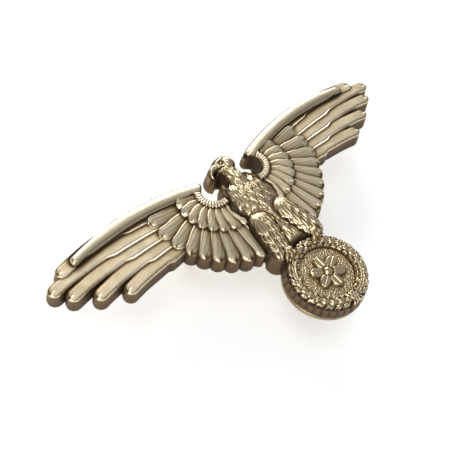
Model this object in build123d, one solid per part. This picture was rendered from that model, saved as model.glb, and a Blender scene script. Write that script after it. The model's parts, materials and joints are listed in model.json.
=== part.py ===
"""Cap badge: a spread-winged bird holding a laurel wreath, struck as hollow-backed pieces that are
soldered to a brass strap, with two screw posts, washers and knurled nuts, and a plain steady pin.

Frame: +X to the wearer's left wing seen from the front, +Y towards the bird's head, +Z out of the
front. The origin is on the strap's back face, on the badge's line of symmetry. Millimetres.
"""

from build123d import *
import math
import os

# Back fittings
STRAP_THICK = 0.8
STRAP_WIDTH = 5.0
STRAP_HALF_SPAN = 20.5
STRAP_FOOT_Y = -24.0
STRAP_SETBACK = 0.35
POST_X, POST_Y = 11.0, 2.0
POST_R = 1.5
POST_LENGTH = 8.0
POST_HEAD_R = 2.2
POST_HEAD_THICK = 0.8
POST_CHAMFER = 0.4
BREAK_GROOVE_TOP = -3.5
BREAK_GROOVE_LENGTH = 0.7
BREAK_GROOVE_R = 1.15
HOLE_CLEARANCE = 0.05
WASHER_R = 4.8
WASHER_THICK = 0.5
NUT_R = 4.3
NUT_THICK = 2.3
NUT_BOSS_R = 2.8
NUT_BOSS_THICK = 0.6
KNURLS = 32
KNURL_DEPTH = 0.3
STACK_GAP = 0.05
PIN_R = 0.8
PIN_SEAT_R = 1.1
PIN_FOOT = 0.8
PIN_POINT = 1.2
PIN_HEAD_R = 1.8
PIN_HEAD_THICK = 0.5
SOLDER_RISE = 0.45
SOLDER_REACH = 0.6

# Depths of the struck pieces, above the strap's back face
RIM_Z = STRAP_THICK
SHEET_UNDERSIDE_Z = 2.9
WING_BASE_Z = 3.9
PRIMARY_TOP_Z = 4.75
PRIMARY_STEP = 0.09
SECONDARY_Z = 4.35
COVERT_Z = 5.0
BAR_Z = 5.2
BEAD_Z = 5.2
BODY_Z = 5.3
BREAST_Z = 6.4
TAIL_Z = 3.9
SEAM_GAP = 0.03

# Wing plan, drawn for the +X side
NOTCH = (4.9, 3.8)
NOTCH_R = 2.3
BEAD_R = 3.6
BAR_ROOT, BAR_TIP, BAR_BOW = (6.9, 6.1), (33.0, 7.3), 1.8
PRIMARY_TIPS = [(37.0, 7.2), (40.0, 5.1), (38.0, 2.6), (34.4, 0.0), (29.8, -2.2)]
PRIMARY_ROOT_TOP = (13.4, 6.2)
PRIMARY_ROOT_STEP = 1.8
SECONDARIES = 10
SECONDARY_FROM, SECONDARY_TO = 6.0, -96.0
SECONDARY_REACH, SECONDARY_REACH_GAIN = 13.8, 1.9
COVERTS = 8
COVERT_FROM, COVERT_TO = 12.0, -94.0
COVERT_REACH, COVERT_REACH_STEP = 7.6, 0.2

# Bird's body
TORSO_CENTRE_Y = -3.1
TORSO_HALF = (4.1, 6.9)
HEAD_CENTRE = (0.4, 6.85)
HEAD_HALF = (2.3, 1.9)
BEAK_TIP = (-3.1, 5.4)
THIGH_ROOT, THIGH_TIP = (2.6, -6.6), (4.1, -14.4)
TAIL_ROOT_Y = -5.0
TAIL_FEATHERS = 5
TAIL_HALF_ANGLE = 30.0
TAIL_LENGTH = 11.3
TAIL_WEB_HALF = 3.0
TAIL_WEB_END_Y = -15.0

# Wreath and roundel
WREATH_Y = -21.0
WREATH_R = 7.5
FIELD_R = 5.1
BACKING_R = 7.7
BACKING_TOP_Z = 2.0
WREATH_BASE_Z = 4.9
LEAF_Z = 5.4
LEAF_STATIONS = 9
LEAF_FROM, LEAF_TO = -78.0, 68.0
FIELD_Z = 4.4
ROUNDEL_UNDERSIDE_Z = 3.2
ROUNDEL_SKIRT = 0.9
ROSETTE_Z = 5.1
PETALS = 6
PETAL_R = 1.15
PETAL_PITCH_R = 1.95
BUTTON_R = 1.05
FOOT_TOP_Z = 6.2
FOOT_X = 3.1


def blade(root, tip, root_half, mid_half, tip_half, bow=0.0):
    """Flat outline of a feather or leaf: two side arcs and a round tip. bow bends it to its left."""
    start, end = Vector(*root), Vector(*tip)
    along = (end - start).normalized()
    left = Vector(-along.Y, along.X)
    shoulder = end - along * tip_half
    middle = (start + shoulder) / 2 + left * bow
    upper = ThreePointArc(start + left * root_half, middle + left * mid_half, shoulder + left * tip_half)
    point = ThreePointArc(shoulder + left * tip_half, end, shoulder - left * tip_half)
    lower = ThreePointArc(shoulder - left * tip_half, middle - left * mid_half, start - left * root_half)
    return make_face([upper, point, lower, Line(lower @ 1, upper @ 0)])


def polar(centre, radius, degrees):
    """Point at a radius and angle about a centre."""
    angle = math.radians(degrees)
    return centre[0] + radius * math.cos(angle), centre[1] + radius * math.sin(angle)


def spaced(first, last, count):
    """count evenly spaced values from first to last."""
    return [first + (last - first) * i / (count - 1) for i in range(count)]


def raised(outline, low, high):
    """Prism of an outline between two depths."""
    return Pos(0, 0, low) * extrude(outline, amount=high - low)


def cylinder(radius, low, high, x=0.0, y=0.0):
    """Upright cylinder between two depths."""
    return raised(Pos(x, y) * Circle(radius), low, high)


def primaries():
    """Long outer feathers, from the leading edge down, each a little lower than the one above."""
    made = []
    for i, tip in enumerate(PRIMARY_TIPS):
        root = (PRIMARY_ROOT_TOP[0], PRIMARY_ROOT_TOP[1] - PRIMARY_ROOT_STEP * i)
        outline = blade(root, tip, 1.2, 1.7, 1.25, bow=1.5 - 0.24 * i)
        made.append((outline, PRIMARY_TOP_Z - PRIMARY_STEP * i))
    return made


def secondaries():
    """Fan of inner flight feathers around the shoulder notch, longest near the body."""
    made = []
    for i, angle in enumerate(spaced(SECONDARY_FROM, SECONDARY_TO, SECONDARIES)):
        share = i / (SECONDARIES - 1)
        reach = SECONDARY_REACH + SECONDARY_REACH_GAIN * share
        outline = blade(polar(NOTCH, 5.5, angle), polar(NOTCH, reach, angle), 0.8, 1.45, 1.3)
        made.append((outline, SECONDARY_Z + 0.03 * i))
    return made


def coverts():
    """Row of short rounded feathers that cover the roots of the secondaries."""
    made = []
    for i, angle in enumerate(spaced(COVERT_FROM, COVERT_TO, COVERTS)):
        reach = COVERT_REACH + COVERT_REACH_STEP * i
        outline = blade(polar(NOTCH, 3.4, angle), polar(NOTCH, reach, angle), 0.6, 1.1, 1.0)
        made.append((outline, COVERT_Z))
    return made


def torso_outline():
    """Torso, neck, head and hooked beak, seen from the front."""
    torso = Pos(0, TORSO_CENTRE_Y) * Ellipse(*TORSO_HALF)
    neck = Pos(0.25, 4.0) * Rectangle(3.1, 6.0)
    head = Pos(*HEAD_CENTRE) * Ellipse(*HEAD_HALF)
    brow = (HEAD_CENTRE[0] - 0.5, HEAD_CENTRE[1] + 1.7)
    chin = (HEAD_CENTRE[0] - 0.9, HEAD_CENTRE[1] - 1.6)
    beak = make_face([
        ThreePointArc(brow, (-2.5, 7.7), BEAK_TIP),
        ThreePointArc(BEAK_TIP, (-2.2, 5.8), chin),
        Line(chin, brow),
    ])
    return torso + neck + head + beak


def thigh_outline(side):
    """One feathered leg."""
    return blade((side * THIGH_ROOT[0], THIGH_ROOT[1]), (side * THIGH_TIP[0], THIGH_TIP[1]), 1.9, 2.35, 1.7)


def tail_outlines():
    """Short fan of tail feathers between the legs, and the web of metal behind them."""
    web_height = TAIL_ROOT_Y - TAIL_WEB_END_Y
    made = [Pos(0, TAIL_ROOT_Y - web_height / 2) * Rectangle(2 * TAIL_WEB_HALF, web_height)]
    for angle in spaced(-TAIL_HALF_ANGLE, TAIL_HALF_ANGLE, TAIL_FEATHERS):
        length = TAIL_LENGTH * math.cos(math.radians(0.55 * angle))
        made.append(blade((0, TAIL_ROOT_Y), polar((0, TAIL_ROOT_Y), length, angle - 90), 0.8, 1.3, 1.1))
    return made


def body_outline():
    """Everything of the bird's body, without its wings."""
    outline = torso_outline() + thigh_outline(-1) + thigh_outline(1)
    for tail in tail_outlines():
        outline += tail
    return outline


def wing():
    """+X wing: feathers as stepped layers in front, and two hollows with a rib between them behind."""
    inner = make_face(Polyline(
        (6.5, 6.9), (13.0, 8.0), (16.0, 6.0), (16.0, -2.0), (13.0, -6.5), (8.5, -9.2), (3.0, -9.2),
        (1.5, 0.0), (1.5, 6.0), close=True,
    ))
    notch = Pos(*NOTCH) * Circle(NOTCH_R) + Pos(NOTCH[0] - 2.1, NOTCH[1] + 3.0) * Rectangle(5.8, 6.0)
    solid = raised(inner, RIM_Z, WING_BASE_Z)
    for outline, top in primaries() + secondaries() + coverts():
        solid += raised(outline, RIM_Z, top)
    solid += raised(blade(BAR_ROOT, BAR_TIP, 0.95, 1.05, 0.8, bow=BAR_BOW), RIM_Z, BAR_Z)
    solid += cylinder(BEAD_R, RIM_Z, BEAD_Z, *NOTCH)
    solid -= raised(notch + body_outline(), 0, BREAST_Z)
    inner_hollow = make_face(Polyline(
        (8.0, 5.4), (18.6, 6.9), (18.6, -0.9), (15.0, -1.8), (11.6, -5.4), (8.4, -7.0), (6.4, -3.0),
        (7.7, 0.0), close=True,
    ))
    outer_hollow = make_face(Polyline(
        (21.4, 7.2), (32.0, 6.0), (35.5, 4.0), (33.0, 1.0), (28.0, -1.0), (21.4, -1.0), close=True,
    ))
    for hollow in (inner_hollow, outer_hollow):
        solid -= raised(fillet(hollow.vertices(), 0.7), 0, SHEET_UNDERSIDE_Z)
    return solid.solids().sort_by(SortBy.VOLUME)[-1]


def bird_body():
    """Hollow-backed body with a domed breast, head, legs, tail and the feet that lie on the wreath."""
    wreath_circle = Pos(0, WREATH_Y) * Circle(BACKING_R + SEAM_GAP)
    legs = thigh_outline(-1) + thigh_outline(1)
    solid = raised(torso_outline() + legs - wreath_circle, RIM_Z, BODY_Z)
    for tail in tail_outlines():
        solid += raised(tail - wreath_circle, RIM_Z, TAIL_Z)
    dome = Pos(0, TORSO_CENTRE_Y, BODY_Z) * scale(Sphere(1), by=(3.8, 6.4, BREAST_Z - BODY_Z))
    solid += dome
    for side in (-1, 1):
        lobe = thigh_outline(side)
        solid += raised(lobe, LEAF_Z + SEAM_GAP, FOOT_TOP_Z - 0.3)
        for spread in (-24, 0, 24):
            claw = polar((side * FOOT_X, -13.6), 2.7, -90 + side * 8 + spread)
            toe = blade((side * FOOT_X, -13.2), claw, 0.5, 0.55, 0.3)
            solid += raised(toe, LEAF_Z + SEAM_GAP, FOOT_TOP_Z)
    hollow = Pos(0, TORSO_CENTRE_Y) * Ellipse(2.9, 5.5)
    solid -= raised(hollow, 0, SHEET_UNDERSIDE_Z + 0.9)
    return solid


def leaf_outlines():
    """Laurel leaves of the +X half of the wreath, from the tie at the foot to the top."""
    made = []
    centre = (0, WREATH_Y)
    for angle in spaced(LEAF_FROM, LEAF_TO, LEAF_STATIONS):
        outer_tip, inner_tip = polar(centre, WREATH_R, angle + 19), polar(centre, FIELD_R + 0.15, angle + 20)
        made.append(blade(polar(centre, 6.5, angle), outer_tip, 0.25, 0.62, 0.18))
        made.append(blade(polar(centre, 6.0, angle), inner_tip, 0.25, 0.5, 0.15))
        made.append(blade(polar(centre, 6.3, angle - 6), polar(centre, 6.35, angle + 17), 0.3, 0.66, 0.2))
    return made


def wreath_ring():
    """Ring with leaves on its face and a tie at its foot."""
    centre = Pos(0, WREATH_Y)
    solid = raised(centre * (Circle(WREATH_R - 0.25) - Circle(FIELD_R)), BACKING_TOP_Z, WREATH_BASE_Z)
    for outline in leaf_outlines():
        leaf = raised(outline, BACKING_TOP_Z, LEAF_Z)
        solid += leaf
        solid += mirror(leaf, about=Plane.YZ)
    tie = Pos(0, WREATH_Y - (WREATH_R + FIELD_R) / 2) * Rectangle(1.6, WREATH_R - FIELD_R)
    solid += raised(tie, BACKING_TOP_Z, LEAF_Z)
    return solid - cylinder(FIELD_R, 0, BREAST_Z, 0, WREATH_Y)


def roundel():
    """Cupped disc inside the wreath, with a plain six-petalled rosette."""
    outer = FIELD_R - SEAM_GAP
    solid = cylinder(outer, BACKING_TOP_Z, FIELD_Z, 0, WREATH_Y)
    solid -= cylinder(outer - ROUNDEL_SKIRT, 0, ROUNDEL_UNDERSIDE_Z, 0, WREATH_Y)
    for i in range(PETALS):
        x, y = polar((0, WREATH_Y), PETAL_PITCH_R, 90 + 360 / PETALS * i)
        solid += cylinder(PETAL_R, FIELD_Z - 0.2, ROSETTE_Z, x, y)
    return solid + cylinder(BUTTON_R, FIELD_Z - 0.2, ROSETTE_Z + 0.2, 0, WREATH_Y)


def back_strap():
    """T-shaped strap across the wings and down to the wreath, with its three holes. It is cut away
    behind the notches beside the neck, so that they stay open."""
    bar = Pos(0, POST_Y) * Rectangle(2 * STRAP_HALF_SPAN, STRAP_WIDTH)
    leg = Pos(0, STRAP_FOOT_Y / 2) * Rectangle(STRAP_WIDTH, -STRAP_FOOT_Y)
    outline = fillet((bar + leg).vertices(), 1.2)
    solid = raised(outline, 0, STRAP_THICK)
    for side in (-1, 1):
        solid -= cylinder(NOTCH_R + STRAP_SETBACK, -1, STRAP_THICK + 1, side * NOTCH[0], NOTCH[1])
    for x in (-POST_X, POST_X):
        solid -= cylinder(POST_R, -1, STRAP_THICK + 1, x, POST_Y)
    return solid - cylinder(PIN_SEAT_R, -1, STRAP_THICK + 1, 0, WREATH_Y)


def wreath_backing():
    """Disc with a rounded edge that closes the wreath from behind."""
    disc = cylinder(BACKING_R, STRAP_THICK, BACKING_TOP_Z, 0, WREATH_Y)
    disc = fillet(disc.edges(), 0.35)
    return disc - cylinder(PIN_SEAT_R, 0, BACKING_TOP_Z + 1, 0, WREATH_Y)


def screw_post():
    """Headed stud with a groove where it can be snapped short for a thin cap."""
    solid = cylinder(POST_R, -POST_LENGTH, STRAP_THICK)
    solid = chamfer(solid.faces().sort_by(Axis.Z)[0].edges(), POST_CHAMFER)
    ring = cylinder(POST_R + 1, BREAK_GROOVE_TOP - BREAK_GROOVE_LENGTH, BREAK_GROOVE_TOP)
    ring -= cylinder(BREAK_GROOVE_R, -POST_LENGTH, 0)
    return solid - ring + cylinder(POST_HEAD_R, STRAP_THICK, STRAP_THICK + POST_HEAD_THICK)


def solder_ring(head_r, low):
    """Cone-shaped bead of solder around a stud's head."""
    bead = Pos(0, 0, low + SOLDER_RISE / 2) * Cone(head_r + SOLDER_REACH, head_r + 0.1, SOLDER_RISE)
    return bead - cylinder(head_r, low - 1, low + 1)


def steady_pin():
    """Plain pointed pin behind the wreath that keeps the badge from swinging, with a tapered foot."""
    seat = cylinder(PIN_SEAT_R, 0, BACKING_TOP_Z)
    foot = Pos(0, 0, -PIN_FOOT / 2) * Cone(PIN_R, PIN_SEAT_R, PIN_FOOT)
    shank = cylinder(PIN_R, PIN_POINT - POST_LENGTH, -PIN_FOOT)
    point = Pos(0, 0, PIN_POINT / 2 - POST_LENGTH) * Cone(0.2, PIN_R, PIN_POINT)
    head = cylinder(PIN_HEAD_R, BACKING_TOP_Z, BACKING_TOP_Z + PIN_HEAD_THICK)
    return Pos(0, WREATH_Y) * (seat + foot + shank + point + head)


def washer():
    """Flat washer that lies against the strap."""
    top = -STACK_GAP
    disc = cylinder(WASHER_R, top - WASHER_THICK, top)
    return disc - cylinder(POST_R + HOLE_CLEARANCE, -POST_LENGTH, 1)


def knurled_nut():
    """Round thumb nut with a knurled rim and a boss on its outer face."""
    top = -2 * STACK_GAP - WASHER_THICK
    rim = Circle(NUT_R)
    for i in range(KNURLS):
        cut = Pos(*polar((0, 0), NUT_R, 360 / KNURLS * i)) * Rot(0, 0, 45 + 360 / KNURLS * i)
        rim -= cut * Rectangle(KNURL_DEPTH * math.sqrt(2), KNURL_DEPTH * math.sqrt(2))
    flange_low = top - NUT_THICK + NUT_BOSS_THICK
    solid = raised(rim, flange_low, top) + cylinder(NUT_BOSS_R, top - NUT_THICK, flange_low)
    return solid - cylinder(POST_R + HOLE_CLEARANCE, -POST_LENGTH, 1)


def write(name, solid):
    """One STEP file for one node."""
    export_step(solid, f"parts/{name}.step")


os.makedirs("parts", exist_ok=True)
right_wing = wing()
write("right_wing", right_wing)
write("left_wing", mirror(right_wing, about=Plane.YZ) - bird_body())
write("bird_body", bird_body())
write("wreath_ring", wreath_ring())
write("wreath_backing", wreath_backing())
write("roundel", roundel())
write("back_strap", back_strap())
write("steady_pin", steady_pin())
write("steady_pin_solder", Pos(0, WREATH_Y) * solder_ring(PIN_HEAD_R, BACKING_TOP_Z))
for side, x in (("left", -POST_X), ("right", POST_X)):
    write(f"{side}_post", Pos(x, POST_Y) * screw_post())
    write(f"{side}_post_solder", Pos(x, POST_Y) * solder_ring(POST_HEAD_R, STRAP_THICK))
    write(f"{side}_washer", Pos(x, POST_Y) * washer())
    write(f"{side}_nut", Pos(x, POST_Y) * knurled_nut())
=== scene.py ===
"""Cap badge: the struck front pieces, their fittings, the light and the camera.

Every struck piece is a height field in plan, painted feather by feather, closed with a drafted wall
and a hollow back. Plan sizes are in millimetres and are turned into metres when a mesh is made.
"""

import json
import math

import bpy
import numpy as np
from mathutils import Matrix, Vector

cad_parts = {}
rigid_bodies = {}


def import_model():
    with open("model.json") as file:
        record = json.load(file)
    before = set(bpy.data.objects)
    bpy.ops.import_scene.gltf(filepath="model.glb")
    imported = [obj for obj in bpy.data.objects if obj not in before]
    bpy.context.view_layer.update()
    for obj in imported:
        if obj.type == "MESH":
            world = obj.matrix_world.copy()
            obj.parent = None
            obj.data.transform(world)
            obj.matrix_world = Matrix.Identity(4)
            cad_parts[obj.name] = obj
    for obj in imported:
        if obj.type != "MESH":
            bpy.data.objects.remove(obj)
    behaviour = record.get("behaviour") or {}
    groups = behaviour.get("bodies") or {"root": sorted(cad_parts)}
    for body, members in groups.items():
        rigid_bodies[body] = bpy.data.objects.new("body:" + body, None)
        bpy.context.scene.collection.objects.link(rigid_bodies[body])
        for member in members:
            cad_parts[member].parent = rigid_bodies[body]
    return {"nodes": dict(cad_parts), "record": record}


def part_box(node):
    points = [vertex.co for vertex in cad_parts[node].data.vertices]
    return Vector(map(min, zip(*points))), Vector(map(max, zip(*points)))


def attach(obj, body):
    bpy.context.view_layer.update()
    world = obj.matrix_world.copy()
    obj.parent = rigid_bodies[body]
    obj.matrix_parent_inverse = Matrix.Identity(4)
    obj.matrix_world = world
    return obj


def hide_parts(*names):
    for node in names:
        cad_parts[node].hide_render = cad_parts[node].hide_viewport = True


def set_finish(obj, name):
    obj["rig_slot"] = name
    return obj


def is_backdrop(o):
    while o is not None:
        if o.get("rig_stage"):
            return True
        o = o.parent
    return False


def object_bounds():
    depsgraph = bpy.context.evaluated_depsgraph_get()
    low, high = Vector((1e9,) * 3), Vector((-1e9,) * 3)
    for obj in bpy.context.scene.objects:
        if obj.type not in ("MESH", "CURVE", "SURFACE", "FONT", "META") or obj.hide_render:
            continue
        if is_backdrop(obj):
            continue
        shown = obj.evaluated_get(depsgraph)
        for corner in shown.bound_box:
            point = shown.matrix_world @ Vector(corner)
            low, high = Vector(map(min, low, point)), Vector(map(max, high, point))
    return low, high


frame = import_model()
cad_box = [list(corner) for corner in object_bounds()]
MM = 0.001


def plan_box(node):
    """A node's box in millimetres: (x0, y0, z0), (x1, y1, z1)."""
    low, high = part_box(node)
    return np.array(low) / MM, np.array(high) / MM


def plan_centre(node):
    """Centre of a node's box in plan, in millimetres."""
    low, high = plan_box(node)
    return (low[:2] + high[:2]) / 2


def plan_radius(node):
    """Half the width of a node's box, in millimetres."""
    low, high = plan_box(node)
    return (high[0] - low[0]) / 2


WREATH_CENTRE = plan_centre("roundel")
SEAT_Z = plan_box("back_strap")[1][2]
WREATH_SEAT_Z = plan_box("wreath_backing")[1][2]
WING_LOW, WING_HIGH = plan_box("right_wing")
BODY_LOW, BODY_HIGH = plan_box("bird_body")
FIELD_R, WREATH_R = plan_radius("roundel"), plan_radius("wreath_ring")

# Pitch of the height fields
WING_PITCH = 0.1
BODY_PITCH = 0.085
WREATH_PITCH = 0.075
ROUNDEL_PITCH = 0.075

# Outline distance where nothing is drawn, and how far round its centre line a stroke is painted
FAR = 5.0
STROKE_MARGIN = 2.4

# Metal thickness behind the relief, its least, and the flat rim that is soldered down
SHEET = 1.1
MIN_SHEET = 0.45
RIM = 1.0

# Side walls: draft, rounding at the foot, painted shade at the top, rings of points and smoothing passes
WALL_DRAFT = 0.11
FOOT_ROUND = 0.12
WALL_SHADE = 0.4
WALL_RINGS = 7
WALL_SMOOTHING = 8

# Moving the grid's edge onto the outline: steps, furthest move in cells and least slope trusted
SNAP_STEPS = 4
MAX_SNAP = 0.8
MIN_SLOPE = 0.2

# (width, depth, share) of the hollows that get brown patina and painted shade
CAVITY_SCALES = ((0.2, 0.07, 0.3), (0.42, 0.2, 0.65), (1.1, 0.6, 0.5))

# Gap left where two struck pieces meet
JOINT_GAP = 0.06

# Fine lines along a wing feather
LINE_PITCH = 0.62
LINE_HEIGHT = 0.012


# -------- height fields

def smoothstep(value, low, high):
    """0 below low, 1 above high, and smooth between them."""
    t = np.clip((value - low) / (high - low), 0, 1)
    return t * t * (3 - 2 * t)


def blur(field, sigma):
    """Gaussian blur of a grid, with sigma in cells; the border repeats."""
    reach = max(1, int(math.ceil(3 * sigma)))
    offsets = np.arange(-reach, reach + 1)
    weights = np.exp(-0.5 * (offsets / sigma) ** 2)
    weights /= weights.sum()
    for axis in (0, 1):
        padding = [(0, 0), (0, 0)]
        padding[axis] = (reach, reach)
        padded = np.pad(field, padding, mode="edge")
        length = field.shape[axis]
        field = sum(w * np.take(padded, range(k, k + length), axis) for k, w in enumerate(weights))
    return field


def value_noise(x, y, cell, seed):
    """Smooth noise from -1 to 1 over the plan, with features about one cell across."""
    rng = np.random.default_rng(seed)
    table = rng.uniform(-1, 1, (64, 64))
    u, v = x / cell, y / cell
    i, j = np.floor(u).astype(int), np.floor(v).astype(int)
    fu, fv = u - i, v - j
    fu, fv = fu * fu * (3 - 2 * fu), fv * fv * (3 - 2 * fv)
    corner = lambda di, dj: table[(j + dj) % 64, (i + di) % 64]
    low = corner(0, 0) * (1 - fu) + corner(1, 0) * fu
    high = corner(0, 1) * (1 - fu) + corner(1, 1) * fu
    return low * (1 - fv) + high * fv


def polar(centre, radius, degrees):
    """Point at a radius and angle about a centre."""
    angle = math.radians(degrees)
    return centre[0] + radius * math.cos(angle), centre[1] + radius * math.sin(angle)


class Curve:
    """Centre line of a feather: a parabola from root to tip that bows to its left."""

    def __init__(self, root, tip, bow=0.0, steps=24):
        root, tip = np.array(root, float), np.array(tip, float)
        along = tip - root
        self.length = float(np.hypot(*along))
        left = np.array([-along[1], along[0]]) / self.length
        t = np.linspace(0, 1, steps + 1)[:, None]
        self.points = root + along * t + left * (4 * bow * t * (1 - t))

    def locate(self, x, y):
        """(share of the way along, signed distance across, distance) for each point."""
        best = np.full(x.shape, 1e9)
        share, across = np.zeros(x.shape), np.zeros(x.shape)
        steps = len(self.points) - 1
        for k in range(steps):
            ax, ay = self.points[k]
            bx, by = self.points[k + 1]
            dx, dy = bx - ax, by - ay
            size = math.hypot(dx, dy)
            t = np.clip(((x - ax) * dx + (y - ay) * dy) / size ** 2, 0, 1)
            px, py = x - ax - t * dx, y - ay - t * dy
            distance = np.hypot(px, py)
            closer = distance < best
            side = np.where(dx * py - dy * px >= 0, 1.0, -1.0)
            best = np.where(closer, distance, best)
            share = np.where(closer, (k + t) / steps, share)
            across = np.where(closer, side * distance, across)
        return share, across, best


class Relief:
    """Height field over a plan rectangle, with a distance field that is negative inside the outline."""

    def __init__(self, low, high, pitch, base=0.0):
        xs = np.arange(low[0], high[0] + pitch, pitch)
        ys = np.arange(low[1], high[1] + pitch, pitch)
        self.x, self.y = np.meshgrid(xs, ys)
        self.pitch = pitch
        self.top = np.full(self.x.shape, float(base))
        self.outline = np.full(self.x.shape, FAR)

    def window(self, points, margin):
        """Slices of the grid that hold these points and a margin round them."""
        low, high = np.min(points, axis=0) - margin, np.max(points, axis=0) + margin
        x0, y0 = self.x[0, 0], self.y[0, 0]
        i0, i1 = int((low[0] - x0) / self.pitch), int((high[0] - x0) / self.pitch) + 2
        j0, j1 = int((low[1] - y0) / self.pitch), int((high[1] - y0) / self.pitch) + 2
        return slice(max(j0, 0), max(j1, 0)), slice(max(i0, 0), max(i1, 0))

    def stroke(self, curve, width, height, extend=True, keep_higher=False):
        """Paints a shape of half width width(s) and height height(s, q, across, x, y) along a curve."""
        spot = self.window(curve.points, STROKE_MARGIN)
        x, y = self.x[spot], self.y[spot]
        if not x.size:
            return
        share, across, distance = curve.locate(x, y)
        half = np.maximum(width(share), 1e-3)
        inside = np.where(distance < half, 1.0, 0.0)
        smooth_edge = np.clip((half - distance) / self.pitch + 0.5, 0, 1)
        cover = np.where(self.outline[spot] < 0, smooth_edge, inside)
        q = np.clip(distance / half, 0, 1) * np.sign(across + 1e-9)
        value = height(share, q, across, x, y)
        old = self.top[spot]
        if keep_higher:
            value = np.maximum(value, old)
        self.top[spot] = old + (value - old) * cover
        if extend:
            self.outline[spot] = np.minimum(self.outline[spot], distance - half)

    def smoothed(self, millimetres):
        """The relief blurred, without letting the ground outside bleed in."""
        sigma = millimetres / self.pitch
        weight = (self.outline < 0.0).astype(float) + 1e-6
        return blur(self.top * weight, sigma) / blur(weight, sigma)

    def soften(self, millimetres):
        """Rounds the relief as casting does."""
        self.top = self.smoothed(millimetres)

    def hollows(self, millimetres):
        """How far each point lies below its surroundings, in millimetres."""
        return self.smoothed(millimetres) - self.top

    def fill_pits(self, millimetres, deepest):
        """Raises whatever lies more than deepest below its surroundings."""
        self.top += np.maximum(self.hollows(millimetres) - deepest, 0)


def kept_cells(inside):
    """Grid cells with all four corners inside, without cells that meet only at a corner."""
    cells = inside[:-1, :-1] & inside[:-1, 1:] & inside[1:, :-1] & inside[1:, 1:]
    while True:
        a, b = cells[:-1, :-1], cells[:-1, 1:]
        c, d = cells[1:, :-1], cells[1:, 1:]
        falling, rising = a & d & ~b & ~c, b & c & ~a & ~d
        if not (falling.any() or rising.any()):
            return cells
        cells[1:, 1:] &= ~falling
        cells[1:, :-1] &= ~rising


def boundary_loops(cells, index):
    """Closed loops of vertex numbers round the kept cells, anticlockwise round the metal."""
    padded = np.pad(cells, 1)
    follow = {}
    sides = (
        (padded[:-2, 1:-1], (0, 0), (0, 1)),
        (padded[1:-1, 2:], (0, 1), (1, 1)),
        (padded[2:, 1:-1], (1, 1), (1, 0)),
        (padded[1:-1, :-2], (1, 0), (0, 0)),
    )
    for neighbour, start, end in sides:
        rows, columns = np.nonzero(cells & ~neighbour)
        starts = index[rows + start[0], columns + start[1]]
        ends = index[rows + end[0], columns + end[1]]
        follow.update(zip(starts.tolist(), ends.tolist()))
    loops = []
    while follow:
        first, nxt = follow.popitem()
        loop = [first]
        while nxt != first:
            loop.append(nxt)
            nxt = follow.pop(nxt)
        loops.append(loop)
    return loops


def sample(field, column, row):
    """Bilinear sample of a grid."""
    column = np.clip(column, 0, field.shape[1] - 1.001)
    row = np.clip(row, 0, field.shape[0] - 1.001)
    i, j = column.astype(int), row.astype(int)
    u, v = column - i, row - j
    low = field[j, i] * (1 - u) + field[j, i + 1] * u
    high = field[j + 1, i] * (1 - u) + field[j + 1, i + 1] * u
    return low * (1 - v) + high * v


def snap_to_outline(outline, pitch, col, row, edge):
    """Moves the grid's edge points onto the outline, in place."""
    slope_y, slope_x = np.gradient(outline, pitch)
    for _ in range(SNAP_STEPS):
        f = sample(outline, col[edge], row[edge])
        gx, gy = sample(slope_x, col[edge], row[edge]), sample(slope_y, col[edge], row[edge])
        size = np.maximum(gx * gx + gy * gy, MIN_SLOPE)
        col[edge] -= np.clip(f * gx / size / pitch, -MAX_SNAP, MAX_SNAP)
        row[edge] -= np.clip(f * gy / size / pitch, -MAX_SNAP, MAX_SNAP)


def wall_rings(x, y, z, seat_z, groove, draft):
    """Rings of points down the wall from an edge loop, each as x, y, z and a painted shade value that darkens
    towards the foot.
    """
    nx = np.roll(y, -1) - np.roll(y, 1)
    ny = np.roll(x, 1) - np.roll(x, -1)
    for _ in range(WALL_SMOOTHING):
        nx, ny, groove = (0.5 * v + 0.25 * (np.roll(v, 1) + np.roll(v, -1)) for v in (nx, ny, groove))
    length = np.maximum(np.hypot(nx, ny), 1e-9)
    nx, ny = nx / length, ny / length
    for k in range(1, WALL_RINGS + 1):
        t = k / WALL_RINGS
        level = z + (seat_z - z) * t
        out = draft * (z - level) - FOOT_ROUND * smoothstep(t, 0.9, 1.0)
        # painted shade on the wall: darker in the outline's inward bends and further towards the foot
        yield x + nx * out, y + ny * out, level, WALL_SHADE + 0.8 * np.clip(groove, -0.35, 0.8) + 0.3 * t


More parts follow.
